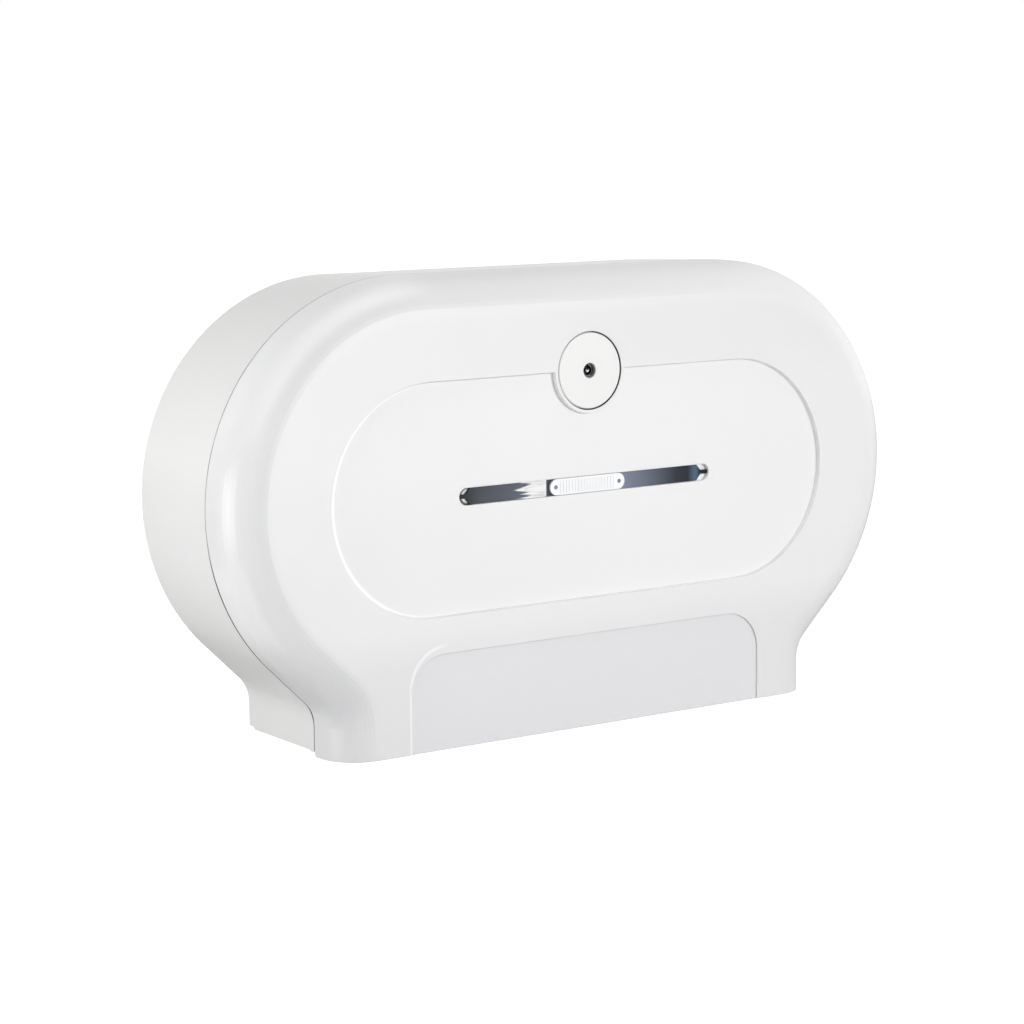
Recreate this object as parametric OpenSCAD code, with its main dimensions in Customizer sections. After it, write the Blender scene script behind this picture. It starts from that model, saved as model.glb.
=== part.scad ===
// Twin jumbo toilet roll dispenser, wall mounted.
// Every piece is drawn flat on the wall and then stood up:
// x = right, y = up, z = out of the wall. After standing up the front faces -Y and
// the wall is the plane Y = 0. The origin lies on the wall, level with the roll axes.

/* [Body] */
// Overall width of the housing and cover
body_w = 600; // [560:1:660]
// Overall height, from the cover's lower edge to the top
body_h = 339; // [330:1:345]
// Overall depth, from the wall to the cover's face
body_d = 137; // [134:1:150]
// Height of the roll axes above the cover's lower edge
axis_h = 181; // [178:1:186]
// Depth of the cover, from the seam to its face
front_d = 40; // [38:0.5:42]
// How far each side of the foot stays inside the body's side
foot_in = 84; // [80:1:95]
// Slope of the shoulders under the rolls, from the vertical
diag_a = 46; // [42:0.5:50]
// Radius of the hollow between shoulder and foot
waist_r = 22; // [15:1:35]
// Wall thickness of both mouldings
wall = 3; // [2.4:0.1:3.4]
// Radius of the cover's front edge
edge_r = 29; // [20:0.5:32]
// How much narrower each side of the housing is at the wall than at the seam
draft = 4.7; // [2:0.1:6]
// Gap of the seam between housing and cover
seam_gap = 0.6; // [0.4:0.1:1]
// How far the housing's lower edge stays above the cover's, at the seam
bottom_step = 4; // [3:0.5:5]
// Height of the step in the housing's lower edge near the wall
heel_h = 2; // [1:0.25:3]
// How far that step reaches out from the wall
heel_d = 8; // [6:0.5:10]

/* [Seam lip] */
// How far the housing's lip reaches past the seam, into the cover
lip_reach = 5; // [3:0.5:6]
// Thickness of the lip
lip_t = 1.6; // [1.2:0.1:2]
// Clearance between the lip and the cover's wall
lip_gap = 0.4; // [0.3:0.1:0.6]

/* [Front panels] */
// Half height of the recessed panel, which is also its end radius
recess_r = 84.5; // [78:0.5:88]
// Distance from the middle to the centres of the panel's round ends
recess_cx = 139; // [125:1:142]
// Depth of the recessed panel
recess_d = 3.2; // [2.8:0.2:4]
// How far the panel's step slopes
recess_slope = 0.8; // [0.5:0.1:2]
// Width of the apron over the outlet
apron_w = 321; // [290:1:340]
// Height of the apron
apron_h = 70; // [60:1:76]
// Radius of the apron's upper corners
apron_r = 30; // [20:1:36]
// Depth of the apron
apron_d = 1.2; // [0.8:0.1:1.8]

/* [Window and slide] */
// Length of the slot in the cover
slot_l = 229; // [220:1:240]
// Height of the slot
slot_h = 12.6; // [11.6:0.1:14]
// Depth of the slot's seat for the lens
slot_d = 3.2; // [2.8:0.1:3.6]
// Thickness of the lens
lens_t = 1.4; // [1:0.1:1.6]
// Clearance round the lens
lens_gap = 0.2; // [0.1:0.05:0.4]
// Length of the slide's cap
cap_l = 68; // [60:1:76]
// Thickness of the slide's cap
cap_t = 1.5; // [1.2:0.1:1.8]
// Distance from the slide's middle to each rivet
rivet_x = 29; // [26:0.5:30]
// Radius of the rivets' shanks
rivet_r = 1; // [0.8:0.1:1.2]
// How far the slide travels each way
slide_travel = 3; // [2:0.25:3.5]
// Distance from one grip rib to the next
grip_pitch = 2.7; // [2.2:0.1:3.2]

/* [Lock] */
// Height of the lock above the roll axes
lock_y = 84; // [82:0.5:90]
// Radius of the lock disc
disc_r = 28; // [26:0.5:30]
// Gap round the lock disc
disc_gap = 0.9; // [0.6:0.1:1]
// Thickness of the lock disc
disc_t = 4.6; // [4:0.1:5]
// Width of the collar that carries the disc below the panel's edge
collar_t = 2.5; // [2:0.25:5]
// Radius of the keyhole in the disc
keyhole_r = 5.3; // [5.1:0.1:6]
// Radius of the turning barrel
barrel_r = 5; // [4.6:0.1:5]
// Running clearance of the barrel
barrel_fit = 0.06; // [0.02:0.01:0.1]
// Radius of the lock body's shank
body_shank_r = 9; // [8:0.5:10]
// Reach of the cam from the barrel's axis
cam_reach = 30; // [26:1:32]
// Width of the cam
cam_w = 14; // [12:1:16]
// Thickness of the cam and of the keeper
strip_t = 2; // [1.5:0.1:2.5]
// Distance from the cover's face back to the cam
cam_in = 30.5; // [29:0.5:32]
// Width of the keeper
keeper_w = 20; // [16:1:24]

/* [Spindles and hubs] */
// Radius of the fixed spindle
spindle_r = 15; // [13:0.5:16]
// Running clearance between hub and spindle
hub_fit = 0.06; // [0.02:0.01:0.1]
// Radius over the hub's fins, which carry the roll's core
fin_r = 27.5; // [26:0.5:32]
// Radius of the hub's flange behind the roll
flange_r = 46; // [40:1:50]
// Length of the hub
hub_l = 88; // [80:1:90]
// End float between the hub and what holds it
hub_float = 0.4; // [0.3:0.1:0.6]
// Number of fins on each hub
fins = 6; // [4:1:8]

/* [Hinge] */
// Distance from the seam back to the hinge axis
hinge_in = 7; // [6:0.5:8]
// Height of the hinge axis above the cover's lower edge
hinge_h = 6.5; // [6:0.25:7.5]
// Radius of the hinge pins
pin_r = 1.5; // [1.25:0.05:1.75]
// Running clearance of the cover's ears on the pins
pin_fit = 0.06; // [0.02:0.01:0.1]
// Radius of the ears round the pins
ear_r = 4.5; // [4:0.25:4.5]

/* [Tear blades] */
// Distance from the wall to the blades
blade_z = 13; // [11:0.5:20]
// Height of each blade, teeth included
blade_h = 12; // [10:0.5:14]
// Thickness of each blade
blade_t = 1; // [0.8:0.1:1.2]
// Distance from one tooth to the next
tooth_pitch = 4; // [3:0.5:6]

/* [Wall mounting] */
// Distance between the wall screws, side to side
mount_x = 440; // [400:1:460]
// Distance between the wall screws, up and down
mount_y = 140; // [120:1:160]
// Radius of the wall screw holes
mount_r = 2.75; // [2:0.05:3]

/* [Hidden] */
$fn = 96;
eps = 0.01;
cut = 1;

// Colours
abs_white = "#f0f0ee";
pure_white = "#fdfdfd";
smoke = [0.17, 0.18, 0.22, 0.9];
steel = "#b9bcc0";
zinc = "#a4a6aa";
dark_steel = "#54565a";

// The outline: two end arcs, sloped shoulders, a hollow on each side and a straight foot
arc_r = body_h - axis_h;
arc_cx = body_w / 2 - arc_r;
foot_x = body_w / 2 - foot_in;
bottom_y = -axis_h;
tan_x = arc_cx + arc_r * cos(diag_a);
tan_y = -arc_r * sin(diag_a);
slope_l = (tan_x - foot_x) / sin(diag_a);
corner_y = tan_y - slope_l * cos(diag_a);
waist_t = waist_r * tan(diag_a / 2);
waist_x = foot_x + waist_r;
waist_y = corner_y - waist_t;
run_l = slope_l - waist_t;
turn_lap = 4;

// Depths
seam_d = body_d - front_d;
hinge_d = seam_d - hinge_in;
cam_d = body_d - cam_in;
cover_d = seam_d + seam_gap;
face_in = body_d - wall;
floor_d = body_d - recess_d;
floor_in = floor_d - wall;
housing_y = bottom_y + bottom_step;
base_t = wall;

// Stands what is drawn on the wall up into the room
module stand() {
  rotate([90, 0, 0]) children();
}

// Repeats its child on the right and, mirrored, on the left
module both_sides() {
  children();
  mirror([1, 0, 0]) children();
}

function arc_points(x, y, r, from, to, steps) = [for (i = [0:steps])
  let (a = from + (to - from) * i / steps) [x + r * cos(a), y + r * sin(a)]];

function backwards(points) = [for (i = [len(points) - 1:-1:0]) points[i]];

function mirrored(points) = [for (p = backwards(points)) [-p[0], p[1]]];

// Filled outline, moved inwards by inset and ending at the height low
module outline(inset, low) {
  right_half = concat(
    arc_points(arc_cx, 0, arc_r - inset, 90, -diag_a, 34),
    arc_points(waist_x, waist_y, waist_r + inset, 180 - diag_a, 180, 8),
    [[foot_x - inset, low]]
  );
  polygon(concat(right_half, mirrored(right_half)));
}

// Carries a wall section all round the outline, down to the height low. In the section,
// x is the distance outside the outline and y is the distance from the wall.
// Each round stretch is two sweeps about one axis that overlap by turn_lap degrees, and the
// sloped stretch lies eps inside its neighbours, so that no two surfaces coincide.
module around_outline(low) {
  waist_turn = (diag_a + turn_lap) / 2;
  translate([-arc_cx, arc_r, 0]) rotate([90, 0, 90]) linear_extrude(2 * arc_cx) children();
  both_sides() translate([arc_cx, 0, 0]) {
    rotate_extrude(start = -turn_lap, angle = 90 + turn_lap, $fn = 180) translate([arc_r, 0]) children();
    rotate([0, 0, -diag_a]) {
      rotate_extrude(start = 0, angle = diag_a, $fn = 180) translate([arc_r - eps, 0]) children();
      translate([arc_r - eps, 0, 0]) rotate([90, 0, 0]) linear_extrude(run_l) children();
      translate([arc_r + waist_r, -run_l, 0]) {
        rotate_extrude(start = 180, angle = waist_turn)
          translate([waist_r + eps, 0]) mirror([1, 0]) children();
        rotate([0, 0, diag_a]) {
          rotate_extrude(start = 180 - waist_turn, angle = waist_turn)
            translate([waist_r, 0]) mirror([1, 0]) children();
          translate([-waist_r, 0, 0]) rotate([90, 0, 0]) linear_extrude(waist_y - low) children();
        }
      }
    }
  }
}

// The same sweep, cut off square at its lower end and at the depths from and to.
// The section runs a little past both depths.
module trimmed_sweep(low, from, to) {
  difference() {
    around_outline(low - cut) children();
    for (z = [from - 2 * cut, to])
      translate([-body_w / 2 - cut, low - 2 * cut, z]) cube([body_w + 2 * cut, arc_r - low + 3 * cut, 2 * cut]);
    translate([-foot_x - cut, low - 2 * cut, from - cut]) cube([2 * foot_x + 2 * cut, 2 * cut, to - from + 2 * cut]);
  }
}

// Long bar with round ends along x, standing on z = 0
module bar(length, width, height) {
  r = width / 2;
  for (side = [-1, 1]) translate([side * (length / 2 - r), 0, 0]) cylinder(h = height, r = r);
  translate([-(length / 2 - r), -r, 0]) cube([length - width, width, height]);
}

// Rectangle with rounded upper corners, from the height low up to top
module arch(width, low, top, r) {
  for (side = [-1, 1]) translate([side * (width / 2 - r), top - r]) circle(r);
  translate([-(width / 2 - r), low]) square([width - 2 * r, top - low]);
  translate([-width / 2, low]) square([width, top - r - low]);
}

// Screw along z: a domed head above z = 0 and a shank below it
module screw(head_r, head_h, shank_r, shank_l) {
  difference() {
    union() {
      cylinder(h = head_h * 0.6, r = head_r, $fn = 32);
      translate([0, 0, head_h * 0.6]) cylinder(h = head_h * 0.4, r1 = head_r, r2 = head_r * 0.7, $fn = 32);
      translate([0, 0, -shank_l]) cylinder(h = shank_l + eps, r = shank_r, $fn = 32);
    }
    for (turn = [0, 90]) rotate([0, 0, turn])
      translate([-head_r * 0.6, -head_r * 0.12, head_h * 0.55]) cube([head_r * 1.2, head_r * 0.24, head_h]);
  }
}

// ---------------------------------------------------------------- front cover
seat_z = floor_d - slot_d;
bezel_t = wall;
bezel_z = seat_z - bezel_t;
pocket_r = disc_r + disc_gap;
collar_r = pocket_r + collar_t;
collar_slope = 0.3;
disc_sink = 0.3;
pocket_z = body_d - disc_sink - disc_t;
disc_screw_r = 1.4;
disc_screw_at = 20;
disc_screws_n = 3;
slide_gap = 0.15;
runner_t = 2;
runner_h = slot_h + 6;
runner_l = cap_l + 8;
rail_t = 1.6;
rail_gap = 0.3;
rail_l = 2 * slide_travel + runner_l + 8;
window_h = slot_h - 4;
nub_l = 6.5;
nub_h = 3;
lens_bevel = 4;
lens_x = slot_l / 2 - lens_gap - nub_l;
rib_t = 1.6;
rib_h = 5;
rib_xs = [60, 120, 180];
back_rings = [60, 108];
back_rib_h = 3;

hinge_y = bottom_y + hinge_h;
ear_gap = 0.4;
ear_t = 3.6;
ear_x = foot_x - wall - 10;
ear_out_x = ear_x + ear_t;
block_z = seam_d + 2;
block_top = hinge_y + 8.5;
block_front = seam_d + 15;
corner_round = 3;

// Section of the cover's wall: straight, then a quarter round that runs on past the face
module cover_section() {
  steps = 14;
  outer = arc_points(-edge_r, body_d - edge_r, edge_r, 0, 90, steps);
  inner = arc_points(-edge_r, body_d - edge_r, edge_r - wall, 0, 90, steps);
  polygon(concat(
    [[0, cover_d - cut]], outer, [3 * outer[steps] - 2 * outer[steps - 1]],
    [3 * inner[steps] - 2 * inner[steps - 1]], backwards(inner), [[-wall, cover_d - cut]]
  ));
}

// Cutter of the recessed panel: sloping sides, and left standing round the lock disc
module panel_cut() {
  r_low = recess_r - recess_slope;
  rise = recess_slope / recess_d * cut;
  collar_rise = collar_slope / recess_d * cut;
  translate([0, 0, floor_d]) difference() {
    union() {
      for (side = [-1, 1]) translate([side * recess_cx, 0, 0])
        cylinder(h = recess_d + cut, r1 = r_low, r2 = recess_r + rise, $fn = 180);
      translate([-recess_cx, 0, 0]) rotate([90, 0, 90]) linear_extrude(2 * recess_cx) polygon([
        [-r_low, 0], [r_low, 0],
        [recess_r + rise, recess_d + cut], [-recess_r - rise, recess_d + cut]
      ]);
    }
    translate([0, lock_y, -cut])
      cylinder(h = recess_d + 3 * cut, r1 = collar_r + collar_slope + collar_rise, r2 = collar_r - 2 * collar_rise);
  }
}

// The ear that turns on the hinge pin, and the block that carries it on the side wall
module cover_ear() {
  translate([ear_x, hinge_y, hinge_d]) rotate([0, 90, 0]) cylinder(h = ear_t, r = ear_r);
  translate([ear_x, hinge_y - ear_r, hinge_d]) cube([ear_t, 2 * ear_r, block_front - hinge_d]);
  translate([ear_x, hinge_y - ear_r, block_z])
    cube([foot_x - wall + 0.6 - ear_x, block_top - hinge_y + ear_r, block_front - block_z]);
}

module cover_ribs() {
  for (x = rib_xs) both_sides() {
    translate([x, recess_r, face_in - rib_h]) cube([rib_t, arc_r - edge_r - recess_r, rib_h + eps]);
    translate([x, -arc_r + edge_r - 4, face_in - rib_h])
      cube([rib_t, arc_r - edge_r + 4 - recess_r, rib_h + eps]);
  }
}

module front_cover() {
  color(abs_white) stand() difference() {
    union() {
      trimmed_sweep(bottom_y, cover_d, body_d) cover_section();
      translate([0, 0, face_in]) linear_extrude(wall) outline(edge_r + 1, bottom_y);
      translate([0, 0, floor_in]) bar(2 * (recess_cx + recess_r) + wall, 2 * recess_r + wall, recess_d + eps);
      translate([0, 0, face_in - apron_d]) linear_extrude(apron_d + eps)
        arch(apron_w + wall, bottom_y, bottom_y + apron_h + wall / 2, apron_r);
      translate([0, lock_y, pocket_z - wall]) cylinder(h = face_in - pocket_z + wall + eps, r = collar_r);
      translate([0, 0, bezel_z]) bar(slot_l + 2 * wall, slot_h + 2 * wall, bezel_t + slot_d);
      for (side = [-1, 1])
        translate([-rail_l / 2, side * (runner_h / 2 + rail_gap + rail_t / 2) - rail_t / 2, bezel_z - runner_t])
          cube([rail_l, rail_t, floor_in - bezel_z + runner_t + eps]);
      cover_ribs();
      both_sides() cover_ear();
    }
    panel_cut();
    translate([0, 0, body_d - apron_d]) linear_extrude(apron_d + cut)
      arch(apron_w, bottom_y - cut, bottom_y + apron_h, apron_r);
    translate([0, 0, seat_z]) bar(slot_l, slot_h, slot_d + cut);
    translate([-lens_x + lens_bevel, -window_h / 2, bezel_z - cut])
      cube([2 * (lens_x - lens_bevel), window_h, bezel_t + 2 * cut]);
    translate([0, lock_y, pocket_z]) cylinder(h = disc_t + cut, r = pocket_r);
    translate([0, lock_y, pocket_z - wall - cut]) cylinder(h = wall + 2 * cut, r = body_shank_r + 0.3);
    translate([0, lock_y, pocket_z - wall - cut]) for (i = [1:disc_screws_n])
      rotate([0, 0, 360 * i / disc_screws_n + 90]) translate([disc_screw_at, 0, 0])
        cylinder(h = wall + 2 * cut, r = disc_screw_r + 0.2);
    both_sides() {
      translate([ear_x - cut, hinge_y, hinge_d]) rotate([0, 90, 0])
        cylinder(h = ear_t + 2 * cut, r = pin_r + pin_fit);
      translate([foot_x - 2 * wall, bottom_y, cover_d]) difference() {
        translate([0, -cut, -cut]) cube([2 * wall + cut, corner_round + cut, corner_round + cut]);
        translate([-cut, corner_round, corner_round]) rotate([0, 90, 0])
          cylinder(h = 2 * wall + 3 * cut, r = corner_round);
      }
    }
  }
}

// ------------------------------------------------------------- window and slide
module window_lens() {
  h = slot_h / 2 - lens_gap;
  slit_h = 2 * rivet_r + 0.2;
  slit_l = 2 * (slide_travel + rivet_x + rivet_r) + 1;
  right_end = [
    [lens_x - lens_bevel, -h], [lens_x, -nub_h / 2], [lens_x + nub_l, -nub_h / 2],
    [lens_x + nub_l, nub_h / 2], [lens_x, nub_h / 2], [lens_x - lens_bevel, h]
  ];
  color(smoke) stand() difference() {
    translate([0, 0, seat_z]) linear_extrude(lens_t) polygon(concat(right_end, mirrored(right_end)));
    translate([0, 0, seat_z - cut]) bar(slit_l, slit_h, lens_t + 2 * cut);
  }
}

cap_z = seat_z + lens_t + slide_gap;
cap_h = slot_h - 0.6;
rivet_head_r = rivet_r + 0.5;
rivet_head_t = 0.5;
grip_h = 0.3;
grips = floor((2 * rivet_x - 4 * rivet_head_r) / grip_pitch);

module slider_cap() {
  color(pure_white) stand() difference() {
    union() {
      translate([0, 0, cap_z]) bar(cap_l, cap_h, cap_t);
      for (i = [0:grips - 1])
        translate([(i - (grips - 1) / 2) * grip_pitch - grip_pitch / 4, -cap_h / 2 + 1.6, cap_z + cap_t - eps])
          cube([grip_pitch / 2, cap_h - 3.2, grip_h]);
    }
    for (side = [-1, 1]) translate([side * rivet_x, 0, cap_z]) {
      translate([0, 0, -cut]) cylinder(h = cap_t + 2 * cut, r = rivet_r + 0.02);
      translate([0, 0, cap_t - rivet_head_t]) cylinder(h = rivet_head_t + cut, r = rivet_head_r + 0.1);
    }
  }
}

runner_z = bezel_z - slide_gap - runner_t;

module slider_runner() {
  color(abs_white) stand() difference() {
    union() {
      translate([0, 0, runner_z]) bar(runner_l, runner_h, runner_t);
      translate([0, 0, runner_z - 1.5]) bar(runner_l - 16, runner_h - 12, 1.5 + eps);
    }
    for (side = [-1, 1]) translate([side * rivet_x, 0, runner_z - 1.5 - cut])
      cylinder(h = runner_t + 1.5 + 2 * cut, r = rivet_r + 0.02);
  }
}

module slider_rivets() {
  rear_z = runner_z - 1.5;
  head_z = cap_z + cap_t - rivet_head_t;
  color(steel) stand() for (side = [-1, 1]) translate([side * rivet_x, 0, 0]) {
    translate([0, 0, rear_z - 1]) cylinder(h = 1, r = rivet_r + 1.2, $fn = 48);
    translate([0, 0, rear_z - eps]) cylinder(h = head_z - rear_z + 2 * eps, r = rivet_r, $fn = 48);
    translate([0, 0, head_z]) cylinder(h = rivet_head_t, r = rivet_head_r, $fn = 48);
  }
}

// ------------------------------------------------------------------------ lock
flange_t = 1.5;
body_flange_r = body_shank_r + 3;
body_rear_z = cam_d + strip_t + 1.5;
barrel_front_z = pocket_z + flange_t + 0.3;
neck_r = barrel_r - 1;
neck_top_z = body_rear_z + 6;
square_w = 5.4;
cam_screw_r = 1.5;
nut_t = 4;

module lock_disc() {
  bevel = 0.6;
  color(abs_white) stand() translate([0, lock_y, pocket_z]) difference() {
    union() {
      cylinder(h = disc_t - bevel, r = disc_r);
      translate([0, 0, disc_t - bevel]) cylinder(h = bevel, r1 = disc_r, r2 = disc_r - bevel);
    }
    translate([0, 0, -cut]) cylinder(h = disc_t + 2 * cut, r = keyhole_r);
    translate([0, 0, disc_t - bevel]) cylinder(h = bevel + eps, r1 = keyhole_r, r2 = keyhole_r + bevel);
    translate([0, 0, -cut]) cylinder(h = flange_t + 0.2 + cut, r = body_flange_r + 0.3);
    for (i = [1:disc_screws_n]) rotate([0, 0, 360 * i / disc_screws_n + 90])
      translate([disc_screw_at, 0, -cut]) cylinder(h = 3 + cut, r = disc_screw_r + 0.02);
  }
}

module disc_screws() {
  color(dark_steel) stand() translate([0, lock_y, pocket_z - wall]) for (i = [1:disc_screws_n])
    rotate([0, 0, 360 * i / disc_screws_n + 90]) translate([disc_screw_at, 0, 0]) mirror([0, 0, 1])
      screw(2.8, 1.8, disc_screw_r, wall + 2.6);
}

module lock_body() {
  color(zinc) stand() translate([0, lock_y, 0]) difference() {
    union() {
      translate([0, 0, body_rear_z]) cylinder(h = pocket_z - body_rear_z + eps, r = body_shank_r);
      translate([0, 0, pocket_z]) cylinder(h = flange_t, r = body_flange_r);
    }
    translate([0, 0, neck_top_z]) cylinder(h = pocket_z, r = barrel_r + barrel_fit);
    translate([0, 0, body_rear_z - cut]) cylinder(h = pocket_z, r = neck_r + barrel_fit);
  }
}

module lock_nut() {
  color(zinc) stand() translate([0, lock_y, pocket_z - wall - nut_t]) difference() {
    cylinder(h = nut_t, r = body_shank_r + 4.6, $fn = 6);
    translate([0, 0, -cut]) cylinder(h = nut_t + 2 * cut, r = body_shank_r + 0.02);
  }
}

module lock_barrel() {
  groove_out = barrel_r - 1.3;
  post_r = 1.6;
  groove_d = 4;
  color(zinc) stand() translate([0, lock_y, 0]) difference() {
    union() {
      translate([0, 0, neck_top_z + 0.2]) cylinder(h = barrel_front_z - neck_top_z - 0.2, r = barrel_r);
      translate([0, 0, cam_d + strip_t]) cylinder(h = neck_top_z - cam_d - strip_t + 0.3, r = neck_r);
      translate([-square_w / 2, -square_w / 2, cam_d]) cube([square_w, square_w, strip_t + eps]);
    }
    translate([0, 0, barrel_front_z - groove_d]) difference() {
      cylinder(h = groove_d + cut, r = groove_out);
      translate([0, 0, -cut]) cylinder(h = groove_d + 3 * cut, r = post_r);
    }
    translate([-0.8, 0, barrel_front_z - groove_d]) cube([1.6, barrel_r - 0.5, groove_d + cut]);
    translate([0, 0, cam_d - cut]) cylinder(h = 9 + cut, r = cam_screw_r + 0.02);
  }
}

module lock_cam() {
  hole = square_w + 0.1;
  color(steel) stand() translate([0, lock_y, cam_d]) difference() {
    linear_extrude(strip_t) {
      circle(cam_w / 2);
      translate([0, -cam_w / 2]) square([cam_reach - cam_w / 2, cam_w]);
      translate([cam_reach - cam_w / 2, 0]) circle(cam_w / 2);
    }
    translate([-hole / 2, -hole / 2, -cut]) cube([hole, hole, strip_t + 2 * cut]);
  }
}

module cam_screw() {
  color(dark_steel) stand() translate([0, lock_y, cam_d]) mirror([0, 0, 1])
    screw(square_w / 2 + 2, 2.2, cam_screw_r, 8);
}

// ---------------------------------------------------------------- back housing
pad_h = 5;
pad_z = base_t + pad_h;
spindle_pad_r = 32;
spindle_screw_at = 24;
spindle_screws_n = 3;
small_r = 1.4;
small_fit = 0.02;
ear_back = 8;
ear_up = 14;
blade_pad_x = foot_x - wall - draft - 0.8;
blade_low = housing_y + 3;
blade_l = hinge_d - ear_back - 3 - blade_z;
blade_screw_zs = [blade_z + 7, blade_z + blade_l - 7];
blade_screw_y = blade_low + blade_h - 4;
keeper_drop = 12;
keeper_edge = 6;
keeper_bite = 9;
keeper_y = arc_r - keeper_drop;
keeper_screw_zs = [seam_d - 29, seam_d - 13];
divider_h = 73;
divider_half = 12;
divider_top = housing_y + divider_h;
divider_nose_y = divider_top - divider_h / 2 + 0.5;
divider_screw_ys = [divider_top - 8, divider_top - 46];
divider_screw_x = 7.5;
spindle_screw_l = 9;
cap_screw_l = 14;
mount_boss_r = 9;

lip_x = wall + lip_gap;
lip_root_z = seam_d - 2 * lip_reach;

// Section of the housing's wall, which leans inwards to the wall and thickens under the lip
module housing_section() {
  taper_z = lip_root_z - 4;
  lean = draft / seam_d;
  polygon([
    [-draft - lean * cut, -cut], [lean * cut, seam_d + cut], [-lip_x - lip_t, seam_d + cut],
    [-lip_x - lip_t, lip_root_z], [lean * (taper_z - seam_d) - wall, taper_z],
    [-draft - lean * cut - wall, -cut]
  ]);
}

module lip_section() {
  translate([-lip_x - lip_t, lip_root_z]) square([lip_t, 3 * lip_reach + cut]);
}

module back_ribs() {
  translate([arc_cx, 0, base_t - eps]) linear_extrude(back_rib_h) {
    for (r = back_rings) difference() {
      circle(r + rib_t / 2);
      circle(r - rib_t / 2);
    }
    for (a = [0:60:300]) rotate(a) translate([spindle_pad_r - 2, -rib_t / 2])
      square([max(back_rings) - spindle_pad_r + 2, rib_t]);
  }
}

module housing_ear() {
  translate([ear_out_x + ear_gap, hinge_y, hinge_d]) rotate([0, 90, 0])
    cylinder(h = foot_x - wall - ear_out_x - ear_gap + 0.5, r = ear_r);
  translate([ear_out_x + ear_gap, hinge_y, hinge_d - ear_back])
    cube([foot_x - wall - ear_out_x - ear_gap + 0.5, ear_up, ear_back + ear_r]);
}

// Shell of the housing, with the step near the wall in its open lower edge
module housing_shell() {
  lip_end = seam_d + lip_reach;
  difference() {
    union() {
      trimmed_sweep(housing_y - cut, 0, seam_d) housing_section();
      trimmed_sweep(housing_y - cut, lip_root_z + cut, lip_end) lip_section();
      linear_extrude(base_t) outline(draft + wall / 2, housing_y - cut);
    }
    translate([-foot_x - cut, 0, 0]) rotate([90, 0, 90]) linear_extrude(2 * foot_x + 2 * cut) polygon([
      [housing_y - 2 * cut, -cut], [housing_y + heel_h, -cut], [housing_y + heel_h, heel_d - heel_h],
      [housing_y, heel_d], [housing_y, lip_end + cut], [housing_y - 2 * cut, lip_end + cut]
    ]);
    both_sides() translate([ear_x - 5, housing_y - cut, seam_d])
      cube([foot_x - wall - ear_x + 5, block_top + 7 - housing_y + cut, lip_reach + cut]);
  }
}

// Block under an outer tear blade, its far side buried in the leaning wall
module blade_pad() {
  z_ends = [blade_z - 1, blade_z + blade_l + 1];
  function buried_x(z) = foot_x - draft * (1 - z / seam_d) - wall / 2;
  translate([0, blade_low + blade_h + 1, 0]) rotate([90, 0, 0]) linear_extrude(blade_h - 1) polygon([
    [blade_pad_x, z_ends[0]], [buried_x(z_ends[0]), z_ends[0]],
    [buried_x(z_ends[1]), z_ends[1]], [blade_pad_x, z_ends[1]]
  ]);
}

module back_housing() {
  color(abs_white) stand() difference() {
    union() {
      housing_shell();
      both_sides() {
        back_ribs();
        translate([arc_cx, 0, base_t - eps]) cylinder(h = pad_h + eps, r = spindle_pad_r);
        for (side = [-1, 1]) translate([mount_x / 2, side * mount_y / 2, base_t - eps])
          cylinder(h = pad_h + eps, r = mount_boss_r);
        housing_ear();
        blade_pad();
      }
      translate([-divider_half, blade_low + 2, base_t - eps])
        cube([2 * divider_half, divider_top - blade_low - 2, pad_h + eps]);
      translate([-keeper_w / 2 - 2, keeper_y + strip_t, keeper_screw_zs[0] - keeper_edge])
        cube([keeper_w + 4, keeper_drop - wall - strip_t + 0.6, keeper_screw_zs[1] - keeper_screw_zs[0] + 2 * keeper_edge]);
    }
    both_sides() {
      translate([ear_out_x, hinge_y, hinge_d]) rotate([0, 90, 0])
        cylinder(h = foot_x - wall - ear_out_x - 1, r = pin_r + 0.01);
      for (side = [-1, 1]) translate([mount_x / 2, side * mount_y / 2, -cut])
        cylinder(h = pad_z + 2 * cut, r = mount_r);
      translate([arc_cx, 0, 0]) for (i = [1:spindle_screws_n])
        rotate([0, 0, 360 * i / spindle_screws_n + 90]) translate([spindle_screw_at, 0, 1])
          cylinder(h = pad_z, r = small_r + small_fit);
      for (z = blade_screw_zs) translate([blade_pad_x - cut, blade_screw_y, z]) rotate([0, 90, 0])
        cylinder(h = 3.6 + cut, r = small_r + small_fit);
      for (y = divider_screw_ys) translate([divider_screw_x, y, 1]) cylinder(h = pad_z, r = small_r + small_fit);
    }
    for (z = keeper_screw_zs) translate([0, keeper_y, z]) rotate([-90, 0, 0])
      cylinder(h = strip_t + 6, r = small_r + small_fit);
  }
}

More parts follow.
